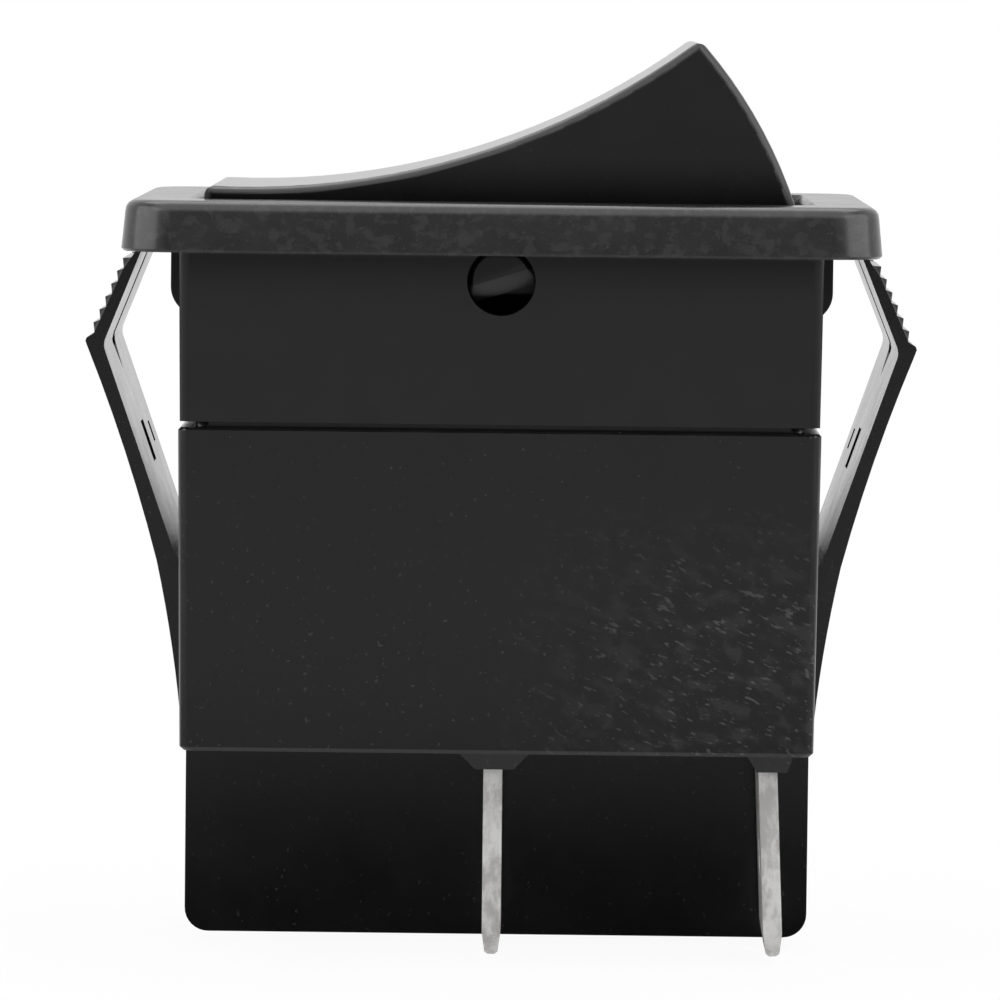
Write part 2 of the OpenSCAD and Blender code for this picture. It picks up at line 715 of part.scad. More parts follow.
// A coil whose last turn at each end lies flat
module plunger_spring(side) {
    steps = 14;
    sides = 6;
    wire = spring_wire / 2;
    z0 = -plunger_top + wire + 0.02;
    z1 = bore_top - wire - 0.02;
    n = spring_turns * steps;
    function rise(t) = z0 + (z1 - z0) * max(0, min(1, (t * spring_turns - 0.8) / (spring_turns - 1.6)));
    points = [for (i = [0:n], k = [0:sides - 1])
        let (a = i * 360 / steps, b = k * 360 / sides, r = spring_r + wire * cos(b))
        [r * cos(a), r * sin(a), rise(i / n) + wire * sin(b)]];
    faces = concat([[for (k = [0:sides - 1]) k]], [[for (k = [sides - 1:-1:0]) n * sides + k]],
        [for (i = [0:n - 1], k = [0:sides - 1])
            [i * sides + k, (i + 1) * sides + k,
             (i + 1) * sides + (k + 1) % sides, i * sides + (k + 1) % sides]]);
    color("#b8bcc0") rocker_pose() pole(side) polyhedron(points, faces);
}

// ---------- contact arm, its contact and its cradle ----------

// Middle line of the arm to the right of its pivot: saddle, crest and flat
function arm_line() =
    let (saddle_mid_r = saddle_r + arm_t / 2,
         saddle = arc([0, saddle_mid_r], saddle_mid_r, -90, saddle_angle - 90, 8),
         crest_mid_p = saddle[8] + crest_r * [sin(saddle_angle), -cos(saddle_angle)],
         crest = arc(crest_mid_p, crest_r, 90 + saddle_angle, 90 - crest_angle, 8),
         toe = crest[8] + [crest[8][1] / tan(crest_angle), -crest[8][1]])
    concat(saddle, [for (i = [1:8]) crest[i]], [toe]);

// The strip's outline: its middle line set off by half its thickness to each side
module arm_outline(end_x) {
    line = concat(arm_line(), [[end_x, 0]]);
    n = len(line);
    function heading(i) =
        let (a = line[max(i - 1, 0)], b = line[min(i + 1, n - 1)]) (b - a) / norm(b - a);
    function off(i, s) = line[i] + s * arm_t / 2 * (i == 0 ? [0, 1] : [-heading(i)[1], heading(i)[0]]);
    polygon(concat([for (i = [0:n - 1]) off(i, 1)], [for (i = [n - 1:-1:0]) off(i, -1)]));
}

module contact_arm(side) color("#c98f5c") arm_pose() pole(side) {
    difference() {
        across(-arm_w / 2, arm_w / 2) {
            arm_outline(arm_end_x);
            mirror([1, 0]) arm_outline(arm_tail_x);
        }
        translate([contact_x, 0, -arm_t]) cylinder(r = shank_r + rivet_clear, h = 2 * arm_t);
    }
    // Trunnions that lie in the cradle's notches
    rotate([90, 0, 0]) cylinder(r = trunnion_r, h = 2 * cradle_out + 0.2, center = true);
}

// A contact rivet, face up: domed head, shank and closing head
module contact_rivet(grip) {
    intersection() {
        cylinder(r = contact_r, h = contact_h + 1);
        translate([0, 0, contact_h - contact_dome_r]) sphere(r = contact_dome_r, $fn = 96);
        cylinder(r = contact_r, h = contact_h + 1);
    }
    translate([0, 0, -grip - eps]) cylinder(r = shank_r, h = grip + 2 * eps);
    translate([0, 0, -grip - upset_h]) cylinder(r = upset_r, h = upset_h);
}

module moving_contact(side) color("#d9dadb") arm_pose() pole(side)
    translate([contact_x, 0, -arm_t / 2]) rotate([180, 0, 0]) contact_rivet(arm_t);

module fixed_contact(side) color("#d9dadb") pole(side)
    translate([fixed_x, 0, shelf_top]) contact_rivet(blade_t);

// A U of strip whose two ears carry the arm's trunnions
module cradle(side) color("#c9a24a") pole(side) difference() {
    union() {
        box([-ear_half, -cradle_out, cradle_foot], [strip_end, cradle_out, cradle_top]);
        for (s = [-1, 1]) translate([0, s * (cradle_in + ear_t / 2), 0])
            box([-ear_half, -ear_t / 2, cradle_foot],
                [ear_half, ear_t / 2, arm_pivot_z + ear_rise]);
    }
    notch_r = trunnion_r + run_clear;
    translate([0, 0, arm_pivot_z]) {
        rotate([90, 0, 0]) cylinder(r = notch_r, h = 2 * cradle_out + 1, center = true);
        box([-notch_r, -cradle_out - 1, 0], [notch_r, cradle_out + 1, ear_rise + 1]);
    }
    translate([rivet_x, 0, cradle_foot - 1]) cylinder(r = rivet_r + rivet_clear, h = ear_t + 2);
}

module cradle_rivet(side) color("#b9bcbf") pole(side) translate([rivet_x, 0, 0]) {
    foot = cradle_foot - blade_t;
    translate([0, 0, foot - eps]) cylinder(r = rivet_r, h = cradle_top - foot + 2 * eps);
    translate([0, 0, cradle_top])
        cylinder(r1 = rivet_head_r, r2 = rivet_head_r * 0.75, h = rivet_head_h);
    translate([0, 0, foot - rivet_head_h])
        cylinder(r1 = rivet_head_r * 0.8, r2 = rivet_head_r, h = rivet_head_h);
}

// ---------- terminals ----------

// Front outline of a blade in YZ: full width with a bevelled tip, hung from z
module blade_face(z, drop) {
    polygon([[-blade_w / 2, z], [blade_w / 2, z], [blade_w / 2, z - drop + tip_bevel],
             [blade_w / 2 - tip_bevel, z - drop], [-blade_w / 2 + tip_bevel, z - drop],
             [-blade_w / 2, z - drop + tip_bevel]]);
}

// Edge outline of a blade in XZ: a strip with a thinned tip, hung from z
module blade_edge(z, drop) {
    polygon([[-blade_t / 2, z], [blade_t / 2, z], [blade_t / 2, z - drop + tip_taper],
             [tip_t / 2, z - drop + 0.12], [tip_t / 4, z - drop], [-tip_t / 4, z - drop],
             [-tip_t / 2, z - drop + 0.12], [-blade_t / 2, z - drop + tip_taper]]);
}

module blade(z, drop) {
    difference() {
        intersection() {
            across(-blade_w / 2, blade_w / 2) blade_edge(z, drop);
            along(-blade_t, blade_t) blade_face(z, drop);
        }
        translate([0, 0, z - drop + blade_hole_up]) rotate([0, 90, 0])
            cylinder(r = blade_hole_r, h = 2 * blade_t, center = true);
    }
}

// A strip that comes up at x and turns through a round bend to a shelf that ends at shelf_x
module bent_strip(x, foot, top, shelf_x) {
    s = shelf_x > x ? 1 : -1;
    outer = bend_r + blade_t;
    across(-blade_w / 2, blade_w / 2) translate([x, 0]) scale_x(s) {
        translate([-blade_t / 2, foot]) square([blade_t, top - outer - foot]);
        translate([outer - blade_t / 2, top - blade_t])
            square([abs(shelf_x - x) - outer + blade_t / 2, blade_t]);
        translate([outer - blade_t / 2, top - outer]) intersection() {
            difference() {
                circle(outer);
                circle(bend_r);
            }
            translate([-outer, 0]) square(outer);
        }
    }
}

module scale_x(s) {
    if (s < 0) mirror([1, 0]) children();
    else children();
}

module common_terminal(side) color("#c4c6c8") pole(side) difference() {
    union() {
        bent_strip(common_x, base_foot, cradle_foot, strip_end);
        translate([common_x, 0, 0]) blade(base_foot + eps, blade_drop + eps);
    }
    translate([rivet_x, 0, cradle_foot - blade_t - 1])
        cylinder(r = rivet_r + rivet_clear, h = blade_t + 2);
}

module load_terminal(side) color("#c4c6c8") pole(side) difference() {
    lean_z = base_foot - boss_drop;
    union() {
        bent_strip(load_x, lean_z, shelf_top, shelf_end);
        translate([load_x, 0, lean_z]) rotate([0, -load_lean, 0])
            blade(0.03, (lean_z - blade_tip) / cos(load_lean));
    }
    translate([fixed_x, 0, shelf_top - blade_t - 1])
        cylinder(r = shank_r + rivet_clear, h = blade_t + 2);
}

frame();
base();
rocker();
plunger(-1);  // near_plunger
plunger_spring(-1);  // near_plunger_spring
contact_arm(-1);  // near_contact_arm
moving_contact(-1);  // near_moving_contact
common_terminal(-1);  // near_common_terminal
cradle(-1);  // near_cradle
cradle_rivet(-1);  // near_cradle_rivet
load_terminal(-1);  // near_load_terminal
fixed_contact(-1);  // near_fixed_contact
plunger(1);  // far_plunger
plunger_spring(1);  // far_plunger_spring
contact_arm(1);  // far_contact_arm
moving_contact(1);  // far_moving_contact
common_terminal(1);  // far_common_terminal
cradle(1);  // far_cradle
cradle_rivet(1);  // far_cradle_rivet
load_terminal(1);  // far_load_terminal
fixed_contact(1);  // far_fixed_contact
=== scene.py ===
# %% [markdown]
# # A panel rocker switch
# This lesson dresses a two-pole rocker switch that snaps into a panel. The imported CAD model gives
# every moulded and stamped piece its exact place. Blender adds the springs' wire, the grain of the
# plastic, the brushed look of the tabs, the light and the camera.

# %% Load the frame
import json
import math

import bmesh
import bpy
from mathutils import Matrix, Vector


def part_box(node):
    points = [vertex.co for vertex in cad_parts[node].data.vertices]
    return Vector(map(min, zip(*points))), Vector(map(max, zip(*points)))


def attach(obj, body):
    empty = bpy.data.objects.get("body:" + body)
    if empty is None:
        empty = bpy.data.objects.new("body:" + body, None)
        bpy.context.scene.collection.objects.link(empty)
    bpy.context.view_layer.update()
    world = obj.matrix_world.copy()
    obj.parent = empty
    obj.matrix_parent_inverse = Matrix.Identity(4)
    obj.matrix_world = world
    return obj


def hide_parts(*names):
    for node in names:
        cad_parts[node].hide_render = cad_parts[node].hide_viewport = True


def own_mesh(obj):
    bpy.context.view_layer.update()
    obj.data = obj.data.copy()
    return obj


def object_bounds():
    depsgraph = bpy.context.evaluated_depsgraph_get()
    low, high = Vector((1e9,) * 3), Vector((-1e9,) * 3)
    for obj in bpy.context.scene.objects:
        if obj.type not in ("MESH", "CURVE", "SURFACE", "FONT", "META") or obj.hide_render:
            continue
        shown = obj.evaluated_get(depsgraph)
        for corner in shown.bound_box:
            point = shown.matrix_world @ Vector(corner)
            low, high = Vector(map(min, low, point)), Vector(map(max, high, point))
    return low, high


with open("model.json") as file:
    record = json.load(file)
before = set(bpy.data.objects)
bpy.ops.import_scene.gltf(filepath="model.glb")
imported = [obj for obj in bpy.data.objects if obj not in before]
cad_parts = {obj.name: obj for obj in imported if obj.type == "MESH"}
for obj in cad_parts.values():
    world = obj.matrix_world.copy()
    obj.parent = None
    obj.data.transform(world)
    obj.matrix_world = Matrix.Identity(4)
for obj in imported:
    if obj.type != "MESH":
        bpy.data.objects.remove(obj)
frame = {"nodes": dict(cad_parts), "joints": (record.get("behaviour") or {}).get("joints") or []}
nodes = frame["nodes"]
joints = {joint["name"]: joint for joint in frame["joints"]}
pivot = Vector(joints["rocker_tilt"]["pos_m"])
REST_TILT = math.radians(17)  # how far the rocker leans at rest
cad_low, cad_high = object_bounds()
MM = 0.001
print("the switch measures", [round((b - a) / MM, 1) for a, b in zip(cad_low, cad_high)], "mm")

# %% [markdown]
# ## The camera
# A long lens close to the level of the bezel shows the switch almost side on, with its top faces
# as thin strips. The camera is placed once, in the same frame as the part, and turned by three
# small angles from looking straight along +Y.

# %% Place the camera
EYE = Vector((1.509, -346.408, 11.239)) * MM
LENS_MM = 279.0
PITCH, ROLL, YAW = math.radians(3.73), math.radians(0.64), math.radians(0.25)


def turn(angle, axis):
    return Matrix.Rotation(angle, 3, axis)


def look():
    """Rows: the picture's right, down and forward directions in the part's frame."""
    level = Matrix(((1, 0, 0), (0, 0, -1), (0, 1, 0)))
    return turn(ROLL, "Z") @ turn(PITCH, "X") @ level @ turn(-YAW, "Z")


def place_camera():
    right, down, ahead = look()
    data = bpy.data.cameras.new("camera")
    data.lens = LENS_MM
    data.sensor_width = 36
    data.clip_start, data.clip_end = 0.01, 20
    camera = bpy.data.objects.new("camera", data)
    facing = Matrix((right, -down, -ahead)).transposed().to_4x4()
    camera.matrix_world = Matrix.Translation(EYE) @ facing
    bpy.context.scene.collection.objects.link(camera)
    bpy.context.scene.camera = camera
    return camera


print("the camera stands", round(place_camera().location.length / MM), "mm from the switch")

# %% [markdown]
# ## Writing shader maths as Python
# Each finish is a small network of nodes. One class wraps a node's output so that sums on it add
# Math nodes, and one method makes every other node from its settings and its sockets.


# %% A finish and its wires
class Wire:
    """A node's output, on which arithmetic adds Math nodes."""

    def __init__(self, finish, socket):
        self.finish, self.socket = finish, socket

    def math(self, operation, *values):
        sockets = dict(enumerate(values))
        return self.finish.node("Math", {"operation": operation}, sockets)

    def __add__(self, other):
        return self.math("ADD", self, other)

    def __sub__(self, other):
        return self.math("SUBTRACT", self, other)

    def __rsub__(self, other):
        return self.math("SUBTRACT", other, self)

    def __mul__(self, other):
        return self.math("MULTIPLY", self, other)

    def above(self, edge, soft):
        """0 below the edge and 1 above it, with a soft step."""
        step = {"interpolation_type": "SMOOTHSTEP"}
        return self.finish.node("MapRange", step, {0: self, 1: edge - soft, 2: edge + soft})

    __radd__ = __add__
    __rmul__ = __mul__


class Network:
    """A shader tree to which nodes are added one at a time."""

    def __init__(self, owner, place="Object"):
        owner.use_nodes = True
        self.tree = owner.node_tree
        self.tree.nodes.clear()
        self.place = self.node("TexCoord", out=place)

    def node(self, kind, settings=None, sockets=None, out=0):
        made = self.tree.nodes.new("ShaderNode" + kind)
        for key, value in (settings or {}).items():
            setattr(made, key, value)
        for key, value in (sockets or {}).items():
            if isinstance(value, Wire):
                self.tree.links.new(value.socket, made.inputs[key])
            else:
                made.inputs[key].default_value = value
        return None if out is None else Wire(self, made.outputs[out])

    def along(self, axis, of=None):
        """One coordinate of a place or of a direction."""
        vector = self.place if of is None else of
        return self.node("SeparateXYZ", None, {0: vector}, out=axis)

    def noise(self, size, detail=2.0, stretch=(1, 1, 1), rough=0.5, dip=0.0):
        """Cloudy pattern whose blobs are about this many millimetres across, turned by a dip."""
        scale = tuple(s / (size * MM) for s in stretch)
        spot = self.place
        if dip:
            turned = {"Vector": spot, "Rotation": (0, math.radians(dip), 0)}
            spot = self.node("Mapping", None, turned)
        spot = self.node("Mapping", None, {"Vector": spot, "Scale": scale})
        return self.node("TexNoise", None,
                         {"Vector": spot, "Scale": 1.0, "Detail": detail, "Roughness": rough})

    def blend(self, amount, first, second):
        return self.node("Mix", {"data_type": "RGBA"}, {0: amount, 6: first, 7: second}, out=2)

    def finish(self, surface, kind="Material"):
        self.node("Output" + kind, None, {"Surface": surface}, out=None)


class Finish(Network):
    """The network of one material."""

    def __init__(self, name):
        self.material = bpy.data.materials.new(name)
        super().__init__(self.material)

    def close(self, **sockets):
        named = {key.replace("_", " "): value for key, value in sockets.items()}
        self.finish(self.node("BsdfPrincipled", None, named))
        return self.material


def grey(level, warm=0.0):
    return (level * (1 + warm), level, level * (1 - warm), 1)


# %% [markdown]
# ## Black moulded plastic
# The frame and the base are moulded in a flame-proof thermoplastic. Up close it is not flat black:
# the mould's sparked surface gives a fine grain, and the filler shows as cloudy mottling. Two noise
# textures are enough for both. They shift the colour and the roughness a little, and a bump node
# turns them into relief. A small class keeps the colour, the roughness and the relief of a plastic
# until its wear has been added.

# %% A black plastic
PALE = grey(0.1)  # dust and bared filler
STEP = 0.1 * MM  # how soft the border between two finishes is


class Plastic(Finish):
    """Cloudy and finely grained black plastic, to which wear is added before it is done."""

    def __init__(self, name, level, roughness, grain):
        super().__init__(name)
        self.level, self.shine = level, {}
        self.x, self.y, self.z = (self.along(axis) for axis in "XYZ")
        self.above_panel = self.z.above(-STEP, STEP)
        cloud, fine = self.noise(2.6, 5, rough=0.65), self.noise(0.16, 3, rough=0.6)
        self.tone = self.blend(cloud.above(0.52, 0.25), grey(level * 0.8), grey(level * 1.25))
        self.rough = roughness + 0.12 * (cloud - 0.5) + 0.1 * (fine - 0.5)
        self.relief = {"Strength": 0.35, "Distance": grain * MM, "Height": fine + 0.5 * cloud}

    def tint(self, share, colour):
        self.tone = self.blend(share, self.tone, colour)

    def done(self):
        bump = self.node("Bump", None, self.relief)
        return self.close(Base_Color=self.tone, Roughness=self.rough, Normal=bump, **self.shine)


# %% [markdown]
# ## Wear and dust
# Dust leaves tiny pale specks, fingers leave faint patches on the bezel, and sliding about in a
# drawer leaves short slanting scuffs low on one end of the base. Each is a noise that is cut off
# high, so that only its peaks show, and a mask tells where on the piece it may be. The skirt below
# the panel is never touched. It stays duller and darker than the bezel.


# %% Wear the plastic
def touch(f, share):
    """Faint patches and flecks above the panel, where fingers reach."""
    marks = f.noise(0.5, 3, (0.8, 1, 1), rough=0.6).above(0.56, 0.07)
    flecks = f.noise(0.17, 2).above(0.66, 0.03)
    f.tint(share * f.above_panel * (0.6 * marks + 0.5 * flecks), grey(f.level * 2.6))


def scuff(f, share, foot=-22.6 * MM, near_face=-10.2 * MM):
    """Short slanting scuffs low on one end, above the foot and mostly on the near face."""
    low = (1 - f.z.above(-13.5 * MM, 4 * MM)) * f.z.above(foot, STEP)
    corner = f.x.above(4 * MM, 6 * MM) * low * (1 - 0.7 * f.y.above(near_face, 2 * STEP))
    slides = f.noise(0.18, 2, (0.36, 1, 1), dip=-24).above(0.655, 0.05)
    rubs = f.noise(0.7, 3, (0.6, 1, 1), dip=-24).above(0.55, 0.08)
    f.tint(share * corner * (slides + 0.25 * rubs), PALE)


def dust(f, share):
    """Tiny specks everywhere, and more of them in broad patches."""
    specks = f.noise(0.22, 1).above(0.74 - 0.03 * share, 0.012)
    patches = f.noise(5.5, 2).above(0.45, 0.2)
    f.tint(specks * (0.35 * share * patches + 0.1), PALE)


def dull_below_panel(f, more_rough):
    below = 1 - f.above_panel
    f.tint(below, grey(f.level * 0.3))
    f.rough = f.rough + more_rough * below


# %% [markdown]
# ## The rocker's polish
# The rocker is smoother than the housing, and its shine is a coat of its own. The coat is faded
# close to the bezel as painted shade: an ambient occlusion node tells how open each spot is, and
# the coat thins where it is not. A bevel node rounds the edges in the shading alone, so no face is
# added. The ramps of its pivots are tinted paler as a painted reflection, and the recesses below
# them are left rough and without coat, painted shade that keeps them dark.


# %% Polish the rocker and paint its light and shade
def polish_with_painted_light(f, roughness, reach, rounding):
    below = 1 - f.above_panel
    # The pivot recesses are made rough, and their coat is left off as painted shade, which keeps
    # them dark.
    rough_recess_painted_shade = 1 - f.z.above(-1.8 * MM, STEP)
    rough_recess_painted_shade = rough_recess_painted_shade * (1 - (f.x * f.x).above((1.9 * MM) ** 2, STEP * MM))
    f.rough = f.rough + 0.4 * rough_recess_painted_shade
    upright = (f.z - pivot.z) * math.cos(REST_TILT) - f.x * math.sin(REST_TILT)
    # Painted reflection: the pivot ramps are tinted paler, standing in for the bright floor that
    # they mirror.
    painted_ramp_reflection = below * (1 - upright.above(0.18 * MM, 0.04 * MM)) * (1 - rough_recess_painted_shade)
    f.tint(painted_ramp_reflection, grey(0.028))
    f.relief["Normal"] = f.node("Bevel", {"samples": 8}, {"Radius": rounding})
    # Painted shade: the coat is faded where the ambient occlusion node finds little open space, so
    # the rocker darkens near the bezel.
    free = f.node("AmbientOcclusion", {"samples": 12}, {"Distance": reach}, out="AO")
    free = free.above(0.67, 0.14)
    f.shine = {"Coat_Weight": free.math("MAXIMUM", free, below) * (1 - rough_recess_painted_shade),
               "Coat_Roughness": roughness, "Coat_IOR": 1.45, "Specular_IOR_Level": 0.08}


# %% Mix the three black plastics
def shell_black():
    f = Plastic("shell_plastic", 0.013, 0.23, 0.006)
    touch(f, 0.9)
    dust(f, 0.1)
    dull_below_panel(f, 0.17)
    return f.done()


def base_black():
    f = Plastic("base_plastic", 0.006, 0.18, 0.005)
    scuff(f, 0.5)
    dust(f, 0.4)
    return f.done()


def rocker_black():
    f = Plastic("rocker_plastic", 0.004, 0.3, 0.003)
    dust(f, 0.1)
    polish_with_painted_light(f, roughness=0.3, reach=4 * MM, rounding=0.2 * MM)
    return f.done()


shell_plastic, base_plastic, rocker_plastic = shell_black(), base_black(), rocker_black()
print("three black plastics are mixed")

# %% [markdown]
# ## Sheet metal, wire and contacts
# The tabs are stamped from tin-plated strip. Rolling leaves fine lines along the blade, the
# plating clouds a little, and the sheared edges are blotchy, which a mask by the way that a face
# looks brings out. The arms, cradles, rivets and contacts inside are the same idea with other
# metals. Stretching a noise along one axis draws the rolling lines.


# %% Mix the metals
def rolled(name, pale, dark, roughness, along=(1, 1, 0.04), lines=0.003, metallic=1.0):
    f = Finish(name)
    streak = f.noise(0.09, 3, stretch=along, rough=0.7)
    cloud = f.noise(0.9, 4, (1, 1, 0.5), rough=0.7)
    facing = f.along("Y", of=f.node("NewGeometry", out="Normal"))
    sheared = (facing * facing).above(0.4, 0.2)
    tone = f.blend((0.35 + 0.65 * sheared) * (cloud.above(0.5, 0.12) - 0.5) + 0.5, dark, pale)
    rough = roughness + 0.16 * (streak - 0.5) + 0.2 * (cloud - 0.5)
    bump = f.node("Bump", None, {"Strength": 0.4, "Distance": lines * MM, "Height": streak})
    return f.close(Base_Color=tone, Roughness=rough, Metallic=metallic, Normal=bump)


tin = rolled("tin_plate", grey(0.78, 0.01), grey(0.5, 0.02), 0.45, metallic=0.45)
copper = rolled("copper_alloy", (0.80, 0.47, 0.30, 1), (0.62, 0.33, 0.20, 1), 0.3, (0.04, 1, 1))
brass = rolled("brass_strip", (0.80, 0.62, 0.32, 1), (0.66, 0.48, 0.22, 1), 0.3, (0.04, 1, 1))
silver = rolled("silver_face", grey(0.88, 0.01), grey(0.74, 0.03), 0.22, (1, 1, 1), 0.002)
plated = rolled("plated_rivet", grey(0.66), grey(0.5), 0.3, (1, 1, 1), 0.003)
wire_steel = rolled("spring_wire", grey(0.6), grey(0.42), 0.26, (1, 1, 1), 0.002)
print("six metals are mixed")

# %% [markdown]
# ## The plungers' plastic
# A plunger slides on metal at every press, so it is moulded in an undyed plastic that slips well.
# It is creamy and faintly cloudy, with a finer grain than the black pieces.


# %% Mix the plungers' natural plastic
def natural():
    f = Finish("natural_plastic")
    cloud = f.noise(1.2, 4)
    fine = f.noise(0.12, 2)
    tone = f.blend(cloud.above(0.5, 0.3), (0.74, 0.71, 0.62, 1), (0.84, 0.82, 0.75, 1))
    bump = f.node("Bump", None, {"Strength": 0.3, "Distance": 0.004 * MM, "Height": fine})
    return f.close(Base_Color=tone, Roughness=0.4 + 0.1 * (fine - 0.5), Normal=bump)


slippery = natural()
print("the plungers' plastic is mixed")

# %% [markdown]
# ## Giving each CAD node its finish
# The nodes keep their exact meshes. Only their material slots change, by the kind of piece that
# the end of the node's name tells.

# %% Assign the finishes
FINISHES = {
    "frame": shell_plastic, "base": base_plastic, "rocker": rocker_plastic,
    "plunger": slippery, "plunger_spring": wire_steel,
    "contact_arm": copper, "cradle": brass, "cradle_rivet": plated,
    "moving_contact": silver, "fixed_contact": silver,
    "common_terminal": tin, "load_terminal": tin,
}


def dress(piece, finish):
    piece.data.materials.clear()
    piece.data.materials.append(finish)


for name, piece in nodes.items():
    kind = name.replace("near_", "").replace("far_", "")
    dress(piece, FINISHES[kind])
print(len(nodes), "CAD nodes have their finish")

# %% [markdown]
# ## Softening the moulded edges
# No moulded edge is perfectly sharp: the mould's corners leave a radius of about a tenth of a
# millimetre, and that thin line of light is what tells the eye that a box is plastic. The frame
# and the base are copied from their CAD nodes, their loose triangles are joined, a small bevel is
# cut on every sharp edge, and the normals are weighted by area so that flat faces stay flat. The
# rocker's edges are rounded in the CAD model already, so its copy is only joined and smoothed.

# %% Copy, join, bevel and smooth


def keep_result(piece):
    """Applies the modifiers of a piece to its mesh."""
    mesh = bpy.data.meshes.new_from_object(
        piece.evaluated_get(bpy.context.evaluated_depsgraph_get()))
    piece.modifiers.clear()
    piece.data = mesh
    mesh.name = piece.name
    return piece


def smooth_faces(piece, sharp_degrees=32):
    piece.data.shade_smooth()
    piece.data.set_sharp_from_angle(angle=math.radians(sharp_degrees))
    weigh = piece.modifiers.new("weigh", "WEIGHTED_NORMAL")
    weigh.keep_sharp = True
    weigh.weight = 90
    return keep_result(piece)


def joined_copy(node, name):
    mesh = nodes[node].data.copy()
    mesh.name = name
    if "custom_normal" in mesh.attributes:
        mesh.attributes.remove(mesh.attributes["custom_normal"])
    b = bmesh.new()
    b.from_mesh(mesh)
    bmesh.ops.remove_doubles(b, verts=b.verts, dist=0.0005 * MM)
    bmesh.ops.dissolve_limit(b, angle_limit=math.radians(0.4), verts=b.verts, edges=b.edges)
    b.to_mesh(mesh)
    b.free()
    piece = bpy.data.objects.new(name, mesh)
    bpy.context.scene.collection.objects.link(piece)
    return piece


def soften(node, name, body, radius_mm, slot):
    piece = joined_copy(node, name)
    if radius_mm:
        cut = piece.modifiers.new("edges", "BEVEL")
        cut.limit_method, cut.angle_limit = "ANGLE", math.radians(38)
        cut.width, cut.segments = radius_mm * MM, 2
        cut.use_clamp_overlap = True
        keep_result(piece)
    smooth_faces(piece)
    dress(piece, FINISHES[node])
    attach(piece, body)
    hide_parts(node)
    return piece


MOULDED = (("frame", "moulded_frame", "housing", 0.07, "black_thermoplastic"),
           ("base", "moulded_base", "housing", 0.07, "black_thermoplastic"),
           ("rocker", "moulded_rocker", "rocker", 0.0, "black_rocker"))
for row in MOULDED:
    made = soften(*row)
    print(made.name, "has", len(made.data.polygons), "faces")

# %% [markdown]
# ## The plunger springs
# In each barrel of the rocker a coil of spring wire pushes the plunger down on its contact arm. A
# coil follows a rule, so Geometry Nodes draw it: a spiral whose end turns lie flat, with a round
# wire swept along it. The tree's inputs are the sizes a spring maker would ask for.

# %% Draw a coil with Geometry Nodes
COIL_INPUTS = (("Mean Radius", "NodeSocketFloat"), ("Wire Radius", "NodeSocketFloat"),
               ("Height", "NodeSocketFloat"), ("Turns", "NodeSocketFloat"),
               ("Wire", "NodeSocketMaterial"))


def coil_tree():
    tree = bpy.data.node_groups.new("coil", "GeometryNodeTree")
    ids = {}
    for label, kind in COIL_INPUTS:
        ids[label] = tree.interface.new_socket(label, in_out="INPUT", socket_type=kind).identifier
    tree.interface.new_socket("Geometry", in_out="OUTPUT", socket_type="NodeSocketGeometry")

    def add(kind, sockets=None, **settings):
        made = tree.nodes.new(kind)
        for key, value in settings.items():
            setattr(made, key, value)
        for key, value in (sockets or {}).items():
            if isinstance(value, bpy.types.NodeSocket):
                tree.links.new(value, made.inputs[key])
            else:
                made.inputs[key].default_value = value
        return made

    given = tree.nodes.new("NodeGroupInput").outputs
    spiral = add("GeometryNodeCurveSpiral", {
        "Resolution": 24, "Rotations": given["Turns"], "Start Radius": given["Mean Radius"],
        "End Radius": given["Mean Radius"], "Height": 0.0})
    # The end turns lie flat: the rise starts after the first turn and stops before the last
    share = add("GeometryNodeSplineParameter").outputs["Factor"]
    turn_no = add("ShaderNodeMath", {0: share, 1: given["Turns"]}, operation="MULTIPLY")
    last = add("ShaderNodeMath", {0: given["Turns"], 1: 0.8}, operation="SUBTRACT")
    rise = add("ShaderNodeMapRange", {"Value": turn_no.outputs[0], "From Min": 0.8,
                                      "From Max": last.outputs[0], "To Max": given["Height"]})
    lift = add("ShaderNodeCombineXYZ", {"Z": rise.outputs[0]})
    coil = add("GeometryNodeSetPosition", {"Geometry": spiral.outputs[0],
                                           "Offset": lift.outputs[0]})
    section = add("GeometryNodeCurvePrimitiveCircle", {"Resolution": 12,
                                                       "Radius": given["Wire Radius"]})
    swept = add("GeometryNodeCurveToMesh", {"Curve": coil.outputs[0],
                                            "Profile Curve": section.outputs[0],
                                            "Fill Caps": True})
    smooth = add("GeometryNodeSetShadeSmooth", {"Geometry": swept.outputs[0]})
    real = add("GeometryNodeRealizeInstances", {"Geometry": smooth.outputs[0]})
    painted = add("GeometryNodeSetMaterial", {"Geometry": real.outputs[0],
                                              "Material": given["Wire"]})
    tree.links.new(painted.outputs[0], tree.nodes.new("NodeGroupOutput").inputs[0])
    return tree, ids


def grow(name, tree, ids, values, place):
    """Runs a tree on an empty mesh and keeps the result as a plain mesh at its place."""
    seed = bpy.data.objects.new(name + "_seed", bpy.data.meshes.new(name + "_seed"))
    bpy.context.scene.collection.objects.link(seed)
    modifier = seed.modifiers.new("grow", "NODES")
    modifier.node_group = tree
    for label, value in values.items():
        modifier[ids[label]] = value
    evaluated = seed.evaluated_get(bpy.context.evaluated_depsgraph_get())
    mesh = bpy.data.meshes.new_from_object(evaluated)
    seed.modifiers.remove(modifier)
    bpy.data.objects.remove(seed)
    mesh.transform(place)
    mesh.name = name
    piece = bpy.data.objects.new(name, mesh)
    bpy.context.scene.collection.objects.link(piece)
    return piece


# %% Coil the two springs
WIRE = 0.18 * MM  # radius
TURNS = 8.0
coil, coil_ids = coil_tree()


